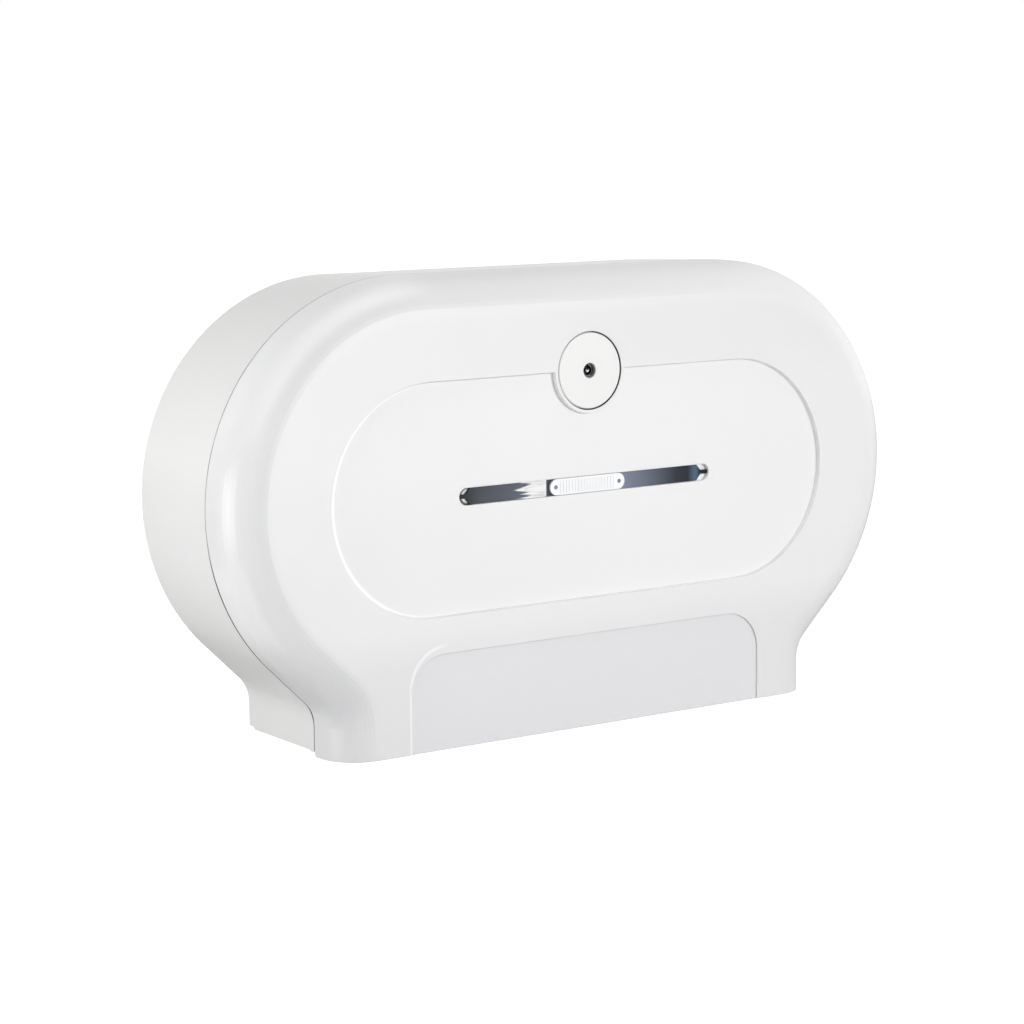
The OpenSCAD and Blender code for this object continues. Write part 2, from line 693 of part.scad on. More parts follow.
// ------------------------------------------------------- divider and tear blades
module centre_divider() {
  skirt_t = 3;
  skirt_top = blade_low + blade_h + 2;
  nose_z = blade_z + blade_l + 8;
  foot_t = 3;
  color(abs_white) stand() difference() {
    union() {
      translate([-divider_half, blade_low + 2, pad_z])
        cube([2 * divider_half, divider_top - blade_low - 2, foot_t]);
      translate([1.5, 0, 0]) rotate([0, -90, 0]) linear_extrude(3) polygon([
        [pad_z, blade_low + 2], [pad_z, divider_top], [pad_z + 2 * foot_t, divider_top],
        [nose_z, divider_nose_y], [nose_z, blade_low + 2]
      ]);
      translate([-divider_half, skirt_top - skirt_t, pad_z]) cube([2 * divider_half, skirt_t, nose_z - pad_z]);
      both_sides() translate([divider_half - skirt_t, blade_low + 2, pad_z])
        cube([skirt_t, skirt_top - blade_low - 2, nose_z - pad_z]);
    }
    both_sides() {
      for (y = divider_screw_ys) translate([divider_screw_x, y, pad_z - cut])
        cylinder(h = foot_t + 2 * cut, r = small_r + 0.2);
      for (z = blade_screw_zs) translate([divider_half - skirt_t - cut, blade_screw_y, z]) rotate([0, 90, 0])
        cylinder(h = skirt_t + 2 * cut, r = small_r + small_fit);
    }
  }
}

module divider_screws() {
  color(dark_steel) stand() for (side = [-1, 1]) for (y = divider_screw_ys)
    translate([side * divider_screw_x, y, pad_z + 3]) screw(3, 2, small_r, 8);
}

// Toothed strip: its length along z, its teeth down, its face towards -x
module tear_blade(x) {
  teeth = floor(blade_l / tooth_pitch);
  tooth_h = 3;
  stand() translate([x, blade_low, blade_z]) rotate([0, -90, 0]) difference() {
    linear_extrude(blade_t) polygon(concat(
      [for (i = [0:teeth - 1]) each [[i * tooth_pitch, tooth_h], [(i + 0.5) * tooth_pitch, 0]]],
      [[teeth * tooth_pitch, tooth_h], [blade_l, tooth_h], [blade_l, blade_h], [0, blade_h]]
    ));
    for (z = blade_screw_zs) translate([z - blade_z, blade_screw_y - blade_low, -cut])
      cylinder(h = blade_t + 2 * cut, r = small_r + 0.2, $fn = 32);
  }
}

module left_outer_tear_blade() {
  color(steel) tear_blade(-blade_pad_x + blade_t);
}

module left_inner_tear_blade() {
  color(steel) tear_blade(-divider_half);
}

module right_inner_tear_blade() {
  color(steel) tear_blade(divider_half + blade_t);
}

module right_outer_tear_blade() {
  color(steel) tear_blade(blade_pad_x);
}

module blade_screws() {
  color(dark_steel) stand() both_sides() for (z = blade_screw_zs) {
    translate([blade_pad_x - blade_t, blade_screw_y, z]) rotate([0, -90, 0])
      screw(2.6, 1.4, small_r, blade_t + 3.4);
    translate([divider_half + blade_t, blade_screw_y, z]) rotate([0, 90, 0])
      screw(2.6, 1.4, small_r, blade_t + 2.8);
  }
}

// ------------------------------------------------------------- spindles and hubs
spindle_flange_r = 30;
spindle_flange_t = 3.5;
post_wall = 3;
post_end_t = 4;
hub_z = pad_z + spindle_flange_t + hub_float;
post_top_z = hub_z + hub_l + hub_float;
hub_sleeve_r = spindle_r + 4;
hub_flange_t = 2.5;
hub_flange_z = 3;
fin_t = 2.4;
hub_cap_t = 3;

module spindle() {
  stand() difference() {
    union() {
      translate([0, 0, pad_z]) cylinder(h = spindle_flange_t, r = spindle_flange_r);
      translate([0, 0, pad_z]) cylinder(h = post_top_z - pad_z, r = spindle_r);
    }
    translate([0, 0, pad_z - cut]) difference() {
      cylinder(h = post_top_z - pad_z - post_end_t + cut, r = spindle_r - post_wall);
      for (turn = [0, 90]) rotate([0, 0, turn]) translate([-spindle_r, -rib_t / 2, -cut])
        cube([2 * spindle_r, rib_t, post_top_z]);
    }
    translate([0, 0, post_top_z - cap_screw_l]) cylinder(h = cap_screw_l + cut, r = small_r + small_fit);
    for (i = [1:spindle_screws_n]) rotate([0, 0, 360 * i / spindle_screws_n + 90])
      translate([spindle_screw_at, 0, pad_z - cut])
        cylinder(h = spindle_flange_t + 2 * cut, r = small_r + 0.2);
  }
}

module left_spindle() {
  color(abs_white) translate([-arc_cx, 0, 0]) spindle();
}

module right_spindle() {
  color(abs_white) translate([arc_cx, 0, 0]) spindle();
}

module spindle_screws() {
  color(dark_steel) stand() for (side = [-1, 1]) translate([side * arc_cx, 0, pad_z + spindle_flange_t])
    for (i = [1:spindle_screws_n]) rotate([0, 0, 360 * i / spindle_screws_n + 90])
      translate([spindle_screw_at, 0, 0]) screw(3, 1.8, small_r, spindle_screw_l);
}

module roll_hub() {
  holes = 6;
  stand() translate([0, 0, hub_z]) difference() {
    union() {
      cylinder(h = hub_l, r = hub_sleeve_r);
      translate([0, 0, hub_flange_z]) cylinder(h = hub_flange_t, r = flange_r);
      translate([0, 0, hub_flange_z]) cylinder(h = hub_flange_t + 1.5, r = hub_sleeve_r + 3);
      for (i = [1:fins]) rotate([0, 0, 360 * i / fins]) translate([0, fin_t / 2, 0]) rotate([90, 0, 0])
        linear_extrude(fin_t) polygon([
          [spindle_r + 2, hub_flange_z], [fin_r + 6, hub_flange_z + hub_flange_t],
          [fin_r, hub_flange_z + hub_flange_t + 6], [fin_r, hub_l - 12],
          [spindle_r + 5, hub_l - 1], [spindle_r + 2, hub_l - 1]
        ]);
    }
    translate([0, 0, -cut]) cylinder(h = hub_l + 2 * cut, r = spindle_r + hub_fit);
    for (i = [1:holes]) rotate([0, 0, 360 * (i + 0.5) / holes]) translate([(flange_r + fin_r) / 2, 0, -cut])
      cylinder(h = hub_flange_z + hub_flange_t + 2 * cut, r = 6);
  }
}

module left_roll_hub() {
  color(abs_white) translate([-arc_cx, 0, 0]) roll_hub();
}

module right_roll_hub() {
  color(abs_white) translate([arc_cx, 0, 0]) roll_hub();
}

module hub_cap() {
  stand() translate([0, 0, post_top_z]) difference() {
    union() {
      cylinder(h = hub_cap_t - 1, r = hub_sleeve_r);
      translate([0, 0, hub_cap_t - 1]) cylinder(h = 1, r1 = hub_sleeve_r, r2 = hub_sleeve_r - 1);
    }
    translate([0, 0, -cut]) cylinder(h = hub_cap_t + 2 * cut, r = small_r + 0.2);
  }
}

module left_hub_cap() {
  color(abs_white) translate([-arc_cx, 0, 0]) hub_cap();
}

module right_hub_cap() {
  color(abs_white) translate([arc_cx, 0, 0]) hub_cap();
}

module hub_cap_screws() {
  color(dark_steel) stand() for (side = [-1, 1])
    translate([side * arc_cx, 0, post_top_z + hub_cap_t]) screw(4, 2.2, small_r, cap_screw_l);
}

// ------------------------------------------------------------ keeper and hinge pins
module latch_keeper() {
  lip_low = lock_y + cam_reach - keeper_bite;
  lip_z = cam_d + strip_t + 1;
  leg_z = keeper_screw_zs[0] - keeper_edge;
  color(steel) stand() difference() {
    union() {
      translate([-keeper_w / 2, keeper_y, leg_z]) cube([keeper_w, strip_t, lip_z + strip_t - leg_z]);
      translate([-keeper_w / 2, lip_low, lip_z]) cube([keeper_w, keeper_y + strip_t - lip_low, strip_t]);
    }
    for (z = keeper_screw_zs) translate([0, keeper_y - cut, z]) rotate([-90, 0, 0])
      cylinder(h = strip_t + 2 * cut, r = small_r + 0.2);
  }
}

module keeper_screws() {
  color(dark_steel) stand() for (z = keeper_screw_zs) translate([0, keeper_y, z]) rotate([90, 0, 0])
    screw(3, 2, small_r, strip_t + 5);
}

module hinge_pin() {
  head_t = 1.3;
  stand() translate([ear_x - ear_gap, hinge_y, hinge_d]) rotate([0, 90, 0]) {
    translate([0, 0, -head_t]) cylinder(h = head_t + eps, r = pin_r + 1.2, $fn = 48);
    cylinder(h = foot_x - wall - 1.2 - ear_x + ear_gap, r = pin_r, $fn = 48);
  }
}

module right_hinge_pin() {
  color(steel) hinge_pin();
}

module left_hinge_pin() {
  color(steel) mirror([1, 0, 0]) hinge_pin();
}

back_housing();
centre_divider();
divider_screws();
left_spindle();
right_spindle();
spindle_screws();
left_roll_hub();
right_roll_hub();
left_hub_cap();
right_hub_cap();
hub_cap_screws();
latch_keeper();
keeper_screws();
left_outer_tear_blade();
left_inner_tear_blade();
right_inner_tear_blade();
right_outer_tear_blade();
blade_screws();
left_hinge_pin();
right_hinge_pin();
front_cover();
window_lens();
slider_cap();
slider_runner();
slider_rivets();
lock_disc();
disc_screws();
lock_body();
lock_nut();
lock_barrel();
lock_cam();
cam_screw();
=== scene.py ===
import math

import bpy
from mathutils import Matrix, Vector

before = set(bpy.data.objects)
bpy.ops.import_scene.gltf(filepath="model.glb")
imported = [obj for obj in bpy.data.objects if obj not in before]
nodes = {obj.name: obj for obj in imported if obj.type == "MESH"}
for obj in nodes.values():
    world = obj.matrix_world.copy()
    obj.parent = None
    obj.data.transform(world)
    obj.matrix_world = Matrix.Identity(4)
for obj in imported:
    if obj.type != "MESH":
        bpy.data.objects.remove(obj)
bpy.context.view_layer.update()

scene = bpy.context.scene

# Colours are linear. Lengths are metres in the frame: -Y is the front, and the wall is at Y = 0.
WHITE, BLACK = (1.0, 1.0, 1.0), (0.02, 0.02, 0.02)
PLASTIC_IOR = 1.5
RELIEF_DEPTH = 0.0002

# Places on the part
FACE_Y, FLOOR_Y, SEAT_Y, SEAM_Y = -0.137, -0.1338, -0.1306, -0.097
LOCK_Z, DISC_GAP_R, DISC_GAP_BOTTOM = 0.084, 0.0284, 0.0060
KEYHOLE_R, KEY_POST_R = 0.0056, 0.0011
PANEL_CX, PANEL_R = 0.139, 0.0845
APRON_X, APRON_CZ, APRON_R = 0.1597, -0.135, 0.030
SLOT_CX, SEAT_TOP, SEAT_END = 0.1082, 0.0080, 0.116
# How much of a recess 3.2 mm deep is hidden behind its left edge from where the photograph was taken
HIDDEN = 0.0026

# The smoked window: its palest colour; the share of it left at places along its length, which paints
# reflection and shade along it, paler beside the pill and dark at the ends; and a painted bluish reflection
# near its right end
LENS_FROM, LENS_TO = -0.1148, 0.1148
SMOKE = (0.25, 0.28, 0.36)
SMOKE_SHEEN_SHARES = ((-0.1145, 0.0), (-0.097, 0.24), (-0.0372, 0.57), (-0.0364, 0.21), (0.0, 0.21),
                (0.033, 1.0), (0.0845, 0.19), (0.1145, 0.10))
BLUE_SHEEN, BLUE_SHEEN_RISE, BLUE_SHEEN_FALL = (0.10, 0.145, 0.225), (0.0945, 0.1025), (0.1075, 0.1035)
# Its pale patch, partly scuff marks and partly painted reflection: where the fingers may start, how far
# they reach, how soft they end, where the patch stops
COMB_FROM, COMB_REACH, COMB_SOFT, PATCH_TO = -0.0860, 0.050, 0.006, -0.0366

# The camera, fitted to the outline in the photograph
AZIMUTH, ELEVATION, DISTANCE = math.radians(-38.65), math.radians(8.41), 2.49445
AIM = (0.19646, 0.0, -0.0618)
SENSOR, FOCAL, SHIFT_X, SHIFT_Y = 36.0, 108.09, -0.1669, 0.0098
CLIP_START, CLIP_END = 0.05, 50.0

# The light: name, place, point it faces, width, height, watts
LAMPS = (
    ("softbox_right", (1.15, -2.6, 0.20), (0.0, -0.1, 0.0), 1.2, 1.7, 41.0),
    ("softbox_left", (-1.05, -0.10, -0.08), (0.0, -0.1, 0.0), 0.5, 0.5, 4.1),
    ("softbox_far", (1.35, -0.30, 0.05), (0.2, -0.1, 0.0), 0.6, 0.8, 0.7),
    ("softbox_top", (0.0, -0.5, 2.2), (0.0, -0.1, 0.0), 1.8, 1.2, 8.2))
WORLD_SIDE, WORLD_TOP, WORLD_TOP_FROM = 0.47, 0.61, 0.9
FLOOR_Z, FLOOR_SIZE, FLOOR_WHITE, FLOOR_BOUNCE = -0.70, 60.0, 1.05, 0.50


# ---------------------------------------------------------------- node helpers
class Net:
    """Short names for adding and joining the nodes of one material or world."""

    def __init__(self, tree):
        self.tree = tree
        tree.nodes.clear()

    def add(self, kind, **values):
        node = self.tree.nodes.new(kind)
        for key, value in values.items():
            setattr(node, key, value)
        return node

    def join(self, source, target):
        self.tree.links.new(source, target)

    def math(self, operation, a, b=0.0, clamp=False):
        node = self.add("ShaderNodeMath", operation=operation, use_clamp=clamp)
        for socket, value in zip(node.inputs, (a, b)):
            if isinstance(value, (int, float)):
                socket.default_value = value
            else:
                self.join(value, socket)
        return node.outputs[0]

    def times(self, first, *others):
        for other in others:
            first = self.math("MULTIPLY", first, other)
        return first

    def positive(self, a, b):
        """a - b, or 0 where b is the greater."""
        return self.math("MAXIMUM", self.math("SUBTRACT", a, b), 0.0)

    def noise(self, scale, detail=2.0, stretch=(1, 1, 1)):
        where = self.add("ShaderNodeTexCoord")
        mapping = self.add("ShaderNodeMapping")
        mapping.inputs["Scale"].default_value = stretch
        self.join(where.outputs["Object"], mapping.inputs["Vector"])
        node = self.add("ShaderNodeTexNoise")
        node.inputs["Scale"].default_value = scale
        node.inputs["Detail"].default_value = detail
        self.join(mapping.outputs["Vector"], node.inputs["Vector"])
        return node.outputs["Fac"]

    def map_range(self, value, low, high, to_low, to_high, kind="LINEAR"):
        node = self.add("ShaderNodeMapRange", interpolation_type=kind)
        numbers = {"From Min": low, "From Max": high, "To Min": to_low, "To Max": to_high}
        for key, number in numbers.items():
            node.inputs[key].default_value = number
        self.join(value, node.inputs["Value"])
        return node.outputs["Result"]

    def spread(self, noise, low, high):
        """Stretches the middle of a noise, where nearly all its values are, from low to high."""
        return self.map_range(noise, 0.3, 0.7, low, high)

    def step(self, value, low, high, to_low=0.0, to_high=1.0):
        """Smooth change from to_low to to_high while the value goes from low to high."""
        return self.map_range(value, low, high, to_low, to_high, "SMOOTHSTEP")

    def mix(self, factor, a, b):
        node = self.add("ShaderNodeMix", data_type="RGBA")
        for socket, value in ((node.inputs[0], factor), (node.inputs[6], a), (node.inputs[7], b)):
            if isinstance(value, (int, float)):
                socket.default_value = value
            elif isinstance(value, (tuple, list)):
                socket.default_value = tuple(value) + (1.0,)
            else:
                self.join(value, socket)
        return node.outputs[2]


def material(name, color, rough, spread=0.04, metallic=0.0, grain=900.0, bump=0.05, bevel=0.0005,
             stretch=(1, 1, 1), tint=0.02, wear=0.0, specular=0.5):
    """Moulded plastic or metal: colour and roughness that vary a little, a fine grain, softened edges."""
    made = bpy.data.materials.new(name)
    made.use_nodes = True
    net = Net(made.node_tree)
    out = net.add("ShaderNodeOutputMaterial")
    shader = net.add("ShaderNodeBsdfPrincipled")
    for key, number in (("Metallic", metallic), ("IOR", PLASTIC_IOR), ("Specular IOR Level", specular)):
        shader.inputs[key].default_value = number
    dark = tuple(c * (1 - tint) for c in color)
    light = tuple(min(1.0, c * (1 + tint)) for c in color)
    paint = net.mix(net.spread(net.noise(7.0, 3.0), 0.0, 1.0), dark, light)
    soft = net.add("ShaderNodeBevel", samples=6)
    soft.inputs["Radius"].default_value = bevel
    if wear:
        flat = net.add("ShaderNodeNewGeometry")
        dot = net.add("ShaderNodeVectorMath", operation="DOT_PRODUCT")
        net.join(soft.outputs[0], dot.inputs[0])
        net.join(flat.outputs["Normal"], dot.inputs[1])
        edge = net.math("MULTIPLY", net.math("SUBTRACT", 1.0, dot.outputs["Value"]), wear, clamp=True)
        paint = net.mix(edge, paint, tuple(min(1.0, c * 1.25 + 0.02) for c in color))
    net.join(paint, shader.inputs["Base Color"])
    net.join(net.spread(net.noise(23.0, 4.0), rough - spread, rough + spread), shader.inputs["Roughness"])
    relief = net.add("ShaderNodeBump")
    relief.inputs["Strength"].default_value = bump
    relief.inputs["Distance"].default_value = RELIEF_DEPTH
    net.join(net.noise(grain, 2.0, stretch), relief.inputs["Height"])
    net.join(soft.outputs[0], relief.inputs["Normal"])
    net.join(relief.outputs[0], shader.inputs["Normal"])
    net.join(shader.outputs[0], out.inputs["Surface"])
    return made, net, shader


def dress(made, *names):
    for name in names:
        slots = nodes[name].data.materials
        slots.clear()
        slots.append(made)


def soak(shader):
    """Lets a little light soak through the white plastic, which softens its small steps."""
    shader.inputs["Subsurface Weight"].default_value = 0.35
    shader.inputs["Subsurface Radius"].default_value = (1.0, 0.9, 0.85)
    shader.inputs["Subsurface Scale"].default_value = 0.0015


def paint_over(net, shader, mask, color):
    """Puts another colour where the mask is 1."""
    base = shader.inputs["Base Color"].links[0].from_socket
    net.join(net.mix(mask, base, color), shader.inputs["Base Color"])


# ----------------------------------------------------------------------- masks
def where_is(net):
    """The node's own X, Y and Z in metres."""
    where = net.add("ShaderNodeTexCoord")
    split = net.add("ShaderNodeSeparateXYZ")
    net.join(where.outputs["Object"], split.inputs[0])
    return split.outputs


def area(net, axes, *edges):
    """1 where each named coordinate has gone from its first value to its second."""
    parts = []
    for name, out_at, in_at in edges:
        if out_at < in_at:
            parts.append(net.step(axes[name], out_at, in_at))
        else:
            parts.append(net.step(axes[name], in_at, out_at, 1.0, 0.0))
    return net.times(*parts)


def band(net, value, middle, half):
    """1 near the middle value, fading to 0 a little beyond half on either side."""
    off = net.math("ABSOLUTE", net.math("SUBTRACT", value, middle))
    return net.step(off, 0.6 * half, 1.2 * half, 1.0, 0.0)


def from_corner(net, across, up):
    """Distance from a round end or corner, given how far one is beyond its centre across and up."""
    return net.math("SQRT", net.math("ADD", net.times(across, across), net.times(up, up)))


def from_lock(net, axes):
    """Distance from the lock's axis."""
    return from_corner(net, axes["X"], net.math("SUBTRACT", axes["Z"], LOCK_Z))


# --------------------------------------------------------------- the materials
def cover_material():
    """White plastic, with painted light and shade: areas painted lighter and areas painted darker, painted
    highlights along the left ends of its recesses, and painted shadow lines in the slot and round the lock
    disc.
    """
    made, net, shader = material("white_shell", (0.86, 0.86, 0.86), 0.32, 0.02, bump=0.02, tint=0.006,
                                 bevel=0.0008)
    soak(shader)
    axes = where_is(net)
    beyond = net.positive(net.math("ABSOLUTE", axes["X"]), PANEL_CX)
    in_panel = net.math("LESS_THAN", from_corner(net, beyond, axes["Z"]), PANEL_R + 0.001)
    on_floor = area(net, axes, ("Y", FLOOR_Y - 0.0003, FLOOR_Y - 0.0001))
    on_walls = area(net, axes, ("Y", FACE_Y + 0.0002, FACE_Y + 0.0004),
                    ("Y", FLOOR_Y - 0.0001, FLOOR_Y - 0.0003))

    # painted shade: everything high on the cover painted darker
    upper = area(net, axes, ("Z", 0.05, 0.11))
    paint_over(net, shader, upper, (0.83, 0.83, 0.83))
    # painted highlight: the upper left shoulder painted lighter
    upper_left_highlight = area(net, axes, ("Z", 0.03, 0.09), ("Y", FACE_Y + 0.002, FACE_Y + 0.008),
                           ("X", -0.12, -0.18))
    paint_over(net, shader, upper_left_highlight, (0.98, 0.98, 0.98))
    # painted shade: the cover's lowest part painted darker
    foot = area(net, axes, ("Z", -0.085, -0.125))
    paint_over(net, shader, foot, (0.805, 0.805, 0.81))
    # painted shade: the lower left shoulder painted darker
    lower_left_shade = area(net, axes, ("Z", -0.02, -0.05), ("Z", -0.100, -0.080),
                           ("Y", FACE_Y + 0.006, FACE_Y + 0.011), ("X", -0.22, -0.25))
    paint_over(net, shader, lower_left_shade, (0.93, 0.93, 0.93))
    # painted shade: a patch on the lower left shoulder painted darker
    left_hollow_shade = area(net, axes, ("Z", -0.095, -0.115), ("Z", -0.150, -0.140), ("Y", -0.112, -0.106),
                       ("X", -0.19, -0.21))
    paint_over(net, shader, left_hollow_shade, (0.76, 0.76, 0.76))
    # painted shade: a band low on the left of the foot painted darker
    foot_corner_shade = area(net, axes, ("Z", -0.125, -0.140), ("X", -0.219, -0.210), ("X", -0.197, -0.206))
    paint_over(net, shader, foot_corner_shade, (0.78, 0.78, 0.79))
    # painted shade: the apron's floor painted darker and a little bluish
    apron_floor_shade = area(net, axes, ("Y", FACE_Y + 0.0008, FACE_Y + 0.0010),
                       ("Y", FACE_Y + 0.0025, FACE_Y + 0.0020), ("Z", -0.098, -0.100),
                       ("X", -0.1620, -0.1612), ("X", 0.1620, 0.1612))
    paint_over(net, shader, apron_floor_shade, (0.79, 0.79, 0.808))
    # painted light: the panel's floor painted lighter
    panel_floor_light = net.times(in_panel, on_floor, area(net, axes, ("X", -0.20, 0.10)))
    paint_over(net, shader, panel_floor_light, (0.89, 0.89, 0.89))
    # painted light: the apron's shaded right wall painted white
    apron_right_wall_light = area(net, axes, ("Y", FACE_Y + 0.00005, FACE_Y + 0.00015),
                            ("Y", FACE_Y + 0.0007, FACE_Y + 0.0006), ("Z", APRON_CZ + 0.001, APRON_CZ),
                            ("X", 0.1580, 0.1585), ("X", 0.1620, 0.1615))
    paint_over(net, shader, apron_right_wall_light, WHITE)
    # painted light: the panel's shaded walls painted white, except near its bottom
    panel_walls_light = net.times(in_panel, on_walls, area(net, axes, ("Z", -0.072, -0.060)))
    paint_over(net, shader, panel_walls_light, WHITE)

    # painted highlight: a bright line painted along the left ends of the panel and of the apron
    panel_end = from_corner(net, net.positive(HIDDEN - PANEL_CX, axes["X"]), axes["Z"])
    panel_highlight = net.times(band(net, panel_end, PANEL_R - 0.0006, 0.0012), on_floor,
                           area(net, axes, ("X", -0.10, -0.20)))
    paint_over(net, shader, panel_highlight, WHITE)
    apron_end = from_corner(net, net.positive(APRON_R - APRON_X, axes["X"]),
                            net.positive(axes["Z"], APRON_CZ))
    apron_highlight = net.times(band(net, apron_end, APRON_R, 0.0013),
                           area(net, axes, ("Y", FACE_Y + 0.0014, FACE_Y + 0.0012), ("X", -0.125, -0.140)))
    paint_over(net, shader, apron_highlight, (0.93, 0.94, 0.95))

    # the slot's seat: painted white at its right end as painted light over its shade, and a painted shadow
    # line round its left end
    seat = area(net, axes, ("Y", FLOOR_Y + 0.0001, FLOOR_Y + 0.0002),
                ("Y", SEAT_Y + 0.0006, SEAT_Y + 0.0004),
                ("Z", SEAT_TOP + 0.0005, SEAT_TOP), ("Z", -SEAT_TOP - 0.0005, -SEAT_TOP),
                ("X", -SEAT_END - 0.001, -SEAT_END), ("X", SEAT_END + 0.001, SEAT_END))
    paint_over(net, shader, net.times(seat, area(net, axes, ("X", 0.100, 0.104))), WHITE)
    slot_end = from_corner(net, net.positive(HIDDEN - SLOT_CX, axes["X"]), axes["Z"])
    slot_shadow_line = net.times(seat, net.step(slot_end, 0.0046, 0.0054), area(net, axes, ("X", -0.101, -0.104)))
    paint_over(net, shader, slot_shadow_line, (0.02, 0.02, 0.025))

    # painted shadow: the gap round the lock disc painted black to the right and below
    deep = area(net, axes, ("Y", FACE_Y + 0.0003, FACE_Y + 0.0005),
                ("Y", FACE_Y + DISC_GAP_BOTTOM + 0.0002, FACE_Y + DISC_GAP_BOTTOM))
    near = band(net, from_lock(net, axes), DISC_GAP_R, 0.0015)
    turned = net.math("SUBTRACT", net.times(axes["X"], 0.97),
                      net.times(net.math("SUBTRACT", axes["Z"], LOCK_Z), 0.24))
    paint_over(net, shader, net.times(deep, near, net.step(turned, -0.010, 0.002)), BLACK)
    return made


def housing_material():
    """The same plastic, with painted light and shade: painted lighter above the foot, and the shadow of the
    seam painted on its lip and along the lower diagonals.
    """
    made, net, shader = material("white_housing", (0.85, 0.85, 0.84), 0.32, 0.02, bump=0.02, tint=0.006,
                                 bevel=0.0006)
    soak(shader)
    axes = where_is(net)
    # painted light: the part above the foot painted lighter than the foot
    paint_over(net, shader, area(net, axes, ("Z", -0.115, -0.085)), (0.895, 0.895, 0.885))
    lip = area(net, axes, ("Y", SEAM_Y + 0.00006, SEAM_Y + 0.00004),
               ("Y", SEAM_Y - 0.0016, SEAM_Y - 0.0012))
    strength = net.math("ADD", net.step(axes["Z"], -0.10, 0.0, 1.0, 0.3),
                        net.step(axes["Z"], 0.04, 0.09, 0.0, 0.4))
    paint_over(net, shader, net.times(lip, strength), BLACK)
    strip = area(net, axes, ("Y", SEAM_Y + 0.00095, SEAM_Y + 0.00085), ("Z", -0.010, -0.055),
                 ("Z", -0.160, -0.150))
    outside = net.math("GREATER_THAN", net.math("ABSOLUTE", axes["X"]), 0.205)
    paint_over(net, shader, net.times(strip, outside), BLACK)
    return made


def disc_material():
    """White plastic, with painted shade inside the keyhole."""
    made, net, shader = material("disc_white", (0.87, 0.87, 0.86), 0.31, 0.02, bump=0.02, tint=0.006,
                                 bevel=0.0004)
    axes = where_is(net)
    keyhole_shade = net.times(net.math("LESS_THAN", from_lock(net, axes), KEYHOLE_R),
                     net.math("GREATER_THAN", axes["Y"], FACE_Y + 0.0006))
    paint_over(net, shader, keyhole_shade, (0.40, 0.40, 0.39))
    return made


def barrel_material():
    """Dark metal, with a paler key post."""
    made, net, shader = material("dark_barrel", (0.07, 0.07, 0.075), 0.26, 0.04, metallic=0.8, grain=700.0,
                                 bump=0.08, tint=0.06, bevel=0.0002)
    post = net.math("LESS_THAN", from_lock(net, where_is(net)), KEY_POST_R)
    paint_over(net, shader, post, (0.36, 0.36, 0.36))
    return made


def lens_material():
    """Smoked plastic, with painted reflection and shade along it: darker to its ends, with a painted bluish
    reflection near its right end and a streaked pale patch beside the pill.
    """
    made, net, shader = material("smoked_lens", (0.075, 0.08, 0.10), 0.12, 0.03, bump=0.02, grain=300.0,
                                 tint=0.08, bevel=0.0002, specular=0.06)
    axes = where_is(net)
    ramp = net.add("ShaderNodeValToRGB")
    length = LENS_TO - LENS_FROM
    net.join(net.math("DIVIDE", net.math("SUBTRACT", axes["X"], LENS_FROM), length), ramp.inputs[0])
    stops = ramp.color_ramp.elements
    while len(stops) < len(SMOKE_SHEEN_SHARES):
        stops.new(0.5)
    for stop, (spot, _) in zip(stops, SMOKE_SHEEN_SHARES):
        stop.position = (spot - LENS_FROM) / length
    for stop, (_, share) in zip(stops, SMOKE_SHEEN_SHARES):
        stop.color = tuple(share * part for part in SMOKE) + (1.0,)
    # painted reflection: a bluish glow near the right end
    glow = area(net, axes, ("X", *BLUE_SHEEN_RISE), ("X", *BLUE_SHEEN_FALL))
    smoke_and_sheen = net.mix(glow, ramp.outputs[0], BLUE_SHEEN)
    # the pale patch, partly scuff marks and partly painted reflection: its left end is combed into fingers,
    # and a few dark hairs cross it
    start = net.math("ADD", net.times(net.noise(1.0, 2.0, (14, 1, 420)), COMB_REACH), COMB_FROM)
    fingers = net.step(net.math("SUBTRACT", axes["X"], start), 0.0, COMB_SOFT)
    stop_here = net.math("LESS_THAN", axes["X"], PATCH_TO)
    hairs = net.spread(net.noise(1.0, 3.0, (60, 1, 900)), 0.62, 1.32)
    patch = net.math("MULTIPLY", net.times(fingers, stop_here), hairs, clamp=True)
    net.join(net.mix(patch, smoke_and_sheen, WHITE), shader.inputs["Base Color"])
    return made


dress(cover_material(), "front_cover")
dress(housing_material(), "back_housing")
inner, *_ = material("white_inner", (0.82, 0.82, 0.81), 0.42, 0.04, bump=0.06, tint=0.01)
dress(inner, "centre_divider", "left_spindle", "right_spindle", "left_hub_cap", "right_hub_cap",
      "left_roll_hub", "right_roll_hub", "latch_keeper", "slider_runner")
dress(disc_material(), "lock_disc")
bright, *_ = material("bright_white", (0.975, 0.985, 1.0), 0.35, 0.03, bump=0.03, tint=0.004, bevel=0.0002)
dress(bright, "slider_cap")
dress(barrel_material(), "lock_barrel")
steel, *_ = material("stainless", (0.60, 0.61, 0.63), 0.27, 0.06, metallic=1.0, grain=60.0,
                     stretch=(1, 1, 60), bump=0.12, tint=0.05, bevel=0.0002)
dress(steel, "left_outer_tear_blade", "left_inner_tear_blade", "right_inner_tear_blade",
      "right_outer_tear_blade", "left_hinge_pin", "right_hinge_pin")
zinc, *_ = material("zinc", (0.50, 0.50, 0.51), 0.30, 0.06, metallic=1.0, grain=700.0, bump=0.10, tint=0.06,
                    wear=2.0, bevel=0.0003)
dress(zinc, "lock_body", "lock_nut", "lock_cam")
screw, *_ = material("screw_steel", (0.38, 0.38, 0.40), 0.30, 0.06, metallic=1.0, bump=0.10, tint=0.06,
                     wear=2.0, bevel=0.0002)
dress(screw, "divider_screws", "spindle_screws", "hub_cap_screws", "keeper_screws", "blade_screws",
      "disc_screws", "cam_screw")
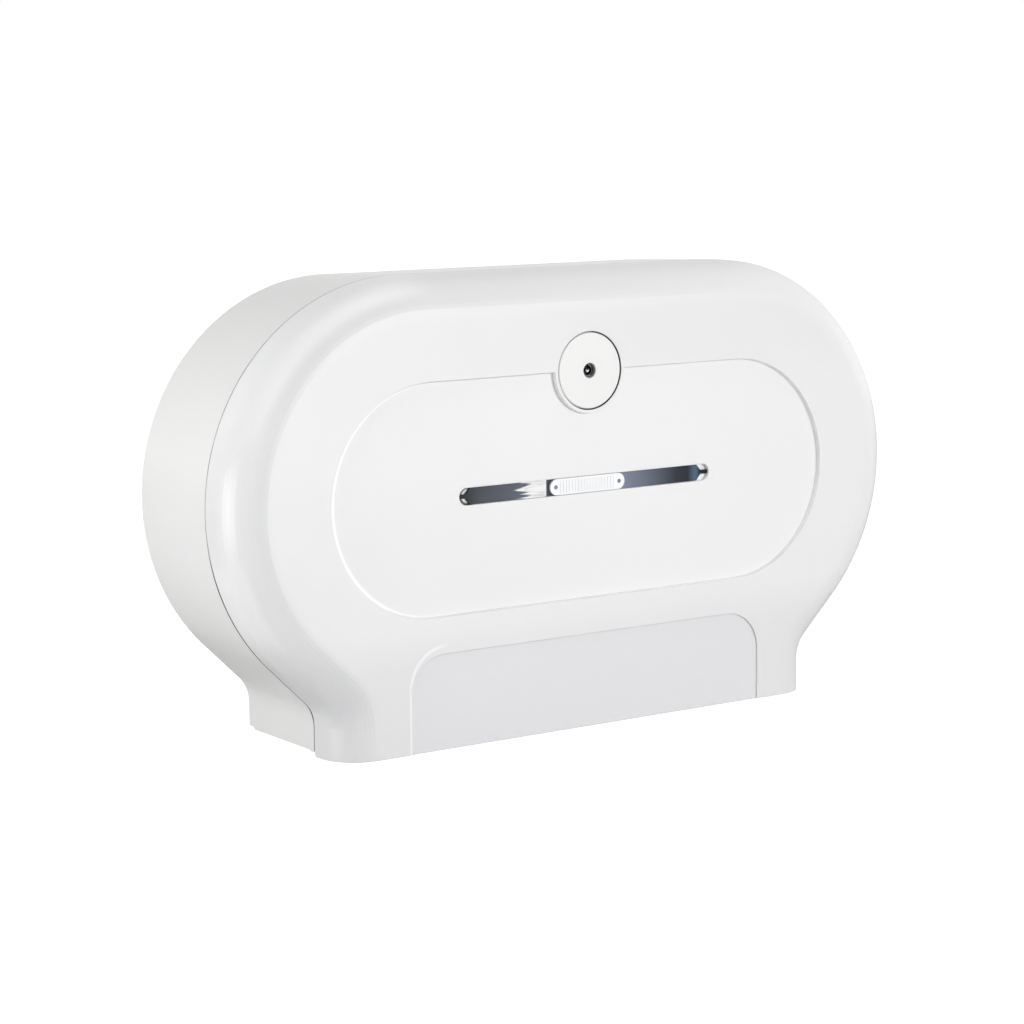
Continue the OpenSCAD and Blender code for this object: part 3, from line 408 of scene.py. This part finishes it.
rivet, *_ = material("rivet_dark", (0.09, 0.10, 0.13), 0.35, 0.05, metallic=1.0, tint=0.05, bevel=0.0001)
dress(rivet, "slider_rivets")
dress(lens_material(), "window_lens")

# ---------------------------------------------------------------------- camera
back = Vector((math.sin(AZIMUTH) * math.cos(ELEVATION), -math.cos(AZIMUTH) * math.cos(ELEVATION),
               math.sin(ELEVATION)))
camera = bpy.data.objects.new("camera", bpy.data.cameras.new("camera"))
scene.collection.objects.link(camera)
camera.data.sensor_width = SENSOR
camera.data.lens = FOCAL
camera.data.shift_x = SHIFT_X
camera.data.shift_y = SHIFT_Y
camera.data.clip_start = CLIP_START
camera.data.clip_end = CLIP_END
camera.rotation_mode = "QUATERNION"
camera.location = Vector(AIM) + back * DISTANCE
camera.rotation_quaternion = (-back).to_track_quat("-Z", "Y")
scene.camera = camera

# ------------------------------------------------------------------- the light
for name, place, aim, width, height, watts in LAMPS:
    light = bpy.data.lights.new(name, "AREA")
    light.shape = "RECTANGLE"
    light.size, light.size_y = width, height
    light.energy = watts
    lamp = bpy.data.objects.new(name, light)
    scene.collection.objects.link(lamp)
    lamp.location = place
    lamp.rotation_mode = "QUATERNION"
    lamp.rotation_quaternion = (Vector(place) - Vector(aim)).to_track_quat("Z", "Y")

# the world looks white, and lights the part a little more from above than from the sides
scene.world = bpy.data.worlds.new("studio")
scene.world.use_nodes = True
net = Net(scene.world.node_tree)
path = net.add("ShaderNodeLightPath")
seen = net.math("ADD", net.math("ADD", path.outputs["Is Camera Ray"], path.outputs["Is Glossy Ray"]),
                path.outputs["Is Transmission Ray"], clamp=True)
white = net.add("ShaderNodeBackground")
white.inputs["Color"].default_value = WHITE + (1.0,)
white.inputs["Strength"].default_value = 1.0
grey = net.add("ShaderNodeBackground")
sky = net.add("ShaderNodeTexCoord")
split = net.add("ShaderNodeSeparateXYZ")
net.join(sky.outputs["Generated"], split.inputs[0])
level = net.step(split.outputs["Z"], 0.0, WORLD_TOP_FROM, WORLD_SIDE, WORLD_TOP)
net.join(level, grey.inputs["Strength"])
blend = net.add("ShaderNodeMixShader")
net.join(seen, blend.inputs[0])
net.join(grey.outputs[0], blend.inputs[1])
net.join(white.outputs[0], blend.inputs[2])
net.join(blend.outputs[0], net.add("ShaderNodeOutputWorld").inputs["Surface"])

# the floor looks white too, and gives back some light from below
bpy.ops.mesh.primitive_plane_add(size=FLOOR_SIZE, location=(0, 0, FLOOR_Z))
floor = bpy.context.object
floor.name = "floor"
made = bpy.data.materials.new("floor")
made.use_nodes = True
net = Net(made.node_tree)
path = net.add("ShaderNodeLightPath")
seen = net.math("ADD", path.outputs["Is Camera Ray"], path.outputs["Is Transmission Ray"], clamp=True)
matte = net.add("ShaderNodeBsdfDiffuse")
matte.inputs["Color"].default_value = (FLOOR_BOUNCE, FLOOR_BOUNCE, FLOOR_BOUNCE, 1)
glow = net.add("ShaderNodeEmission")
net.join(net.times(seen, FLOOR_WHITE), glow.inputs["Strength"])
both = net.add("ShaderNodeAddShader")
net.join(matte.outputs[0], both.inputs[0])
net.join(glow.outputs[0], both.inputs[1])
net.join(both.outputs[0], net.add("ShaderNodeOutputMaterial").inputs["Surface"])
floor.data.materials.append(made)

scene.view_settings.view_transform = "Standard"
